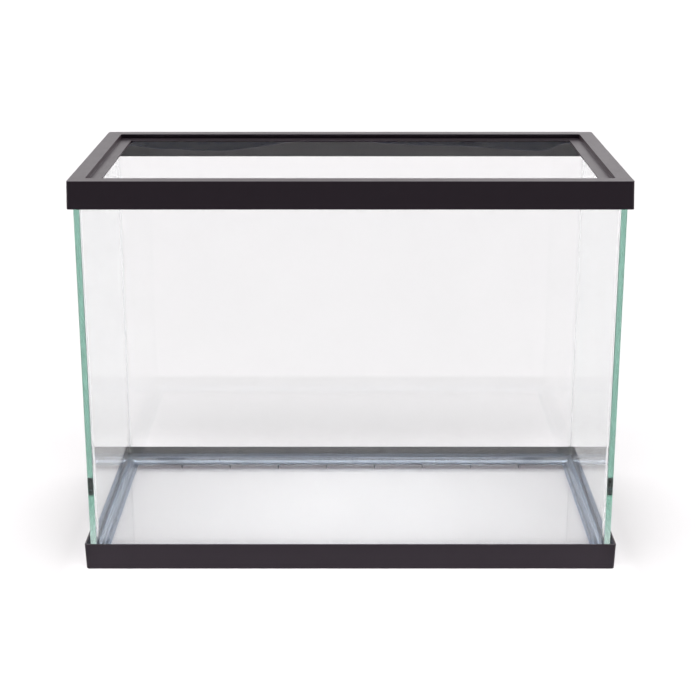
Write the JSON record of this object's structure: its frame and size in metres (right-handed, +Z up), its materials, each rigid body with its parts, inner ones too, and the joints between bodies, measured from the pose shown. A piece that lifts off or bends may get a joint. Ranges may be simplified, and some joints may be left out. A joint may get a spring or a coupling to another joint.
{
  "type": "framed glass pet tank",
  "caption": "Open-topped rectangular glass tank with black moulded frames round its top and base, silicone-bonded panes and a stepped ledge for a lid.",
  "frame": {"origin": "the middle of the footprint, on the surface that the base frame stands on", "axes": "+X along the tank's length, to the right as seen from the front; +Y from the front to the back; +Z up"},
  "size_m": [0.616, 0.318, 0.458],
  "materials": {
    "frame_plastic": "black moulded plastic, satin, with a fine moulded grain on its upward faces",
    "clear_glass": "clear float glass with a green cut edge",
    "clear_silicone": "translucent cured silicone, tooled smooth",
    "bedding_sealant": "clear sealant that looks dark where it wets the black frame"
  },
  "bodies": {
    "root": {"top_frame": "frame_plastic", "base_frame": "frame_plastic", "front_pane": "clear_glass", "back_pane": "clear_glass", "left_pane": "clear_glass", "right_pane": "clear_glass", "floor_pane": "clear_glass", "corner_seal_front_left": "clear_silicone", "corner_seal_front_right": "clear_silicone", "corner_seal_back_left": "clear_silicone", "corner_seal_back_right": "clear_silicone", "floor_seal_front": "clear_silicone", "floor_seal_back": "clear_silicone", "floor_seal_left": "clear_silicone", "floor_seal_right": "clear_silicone", "top_sealant_front": "bedding_sealant", "top_sealant_back": "bedding_sealant", "top_sealant_left": "bedding_sealant", "top_sealant_right": "bedding_sealant", "base_sealant_front": "bedding_sealant", "base_sealant_back": "bedding_sealant", "base_sealant_left": "bedding_sealant", "base_sealant_right": "bedding_sealant"}
  },
  "joints": []
}
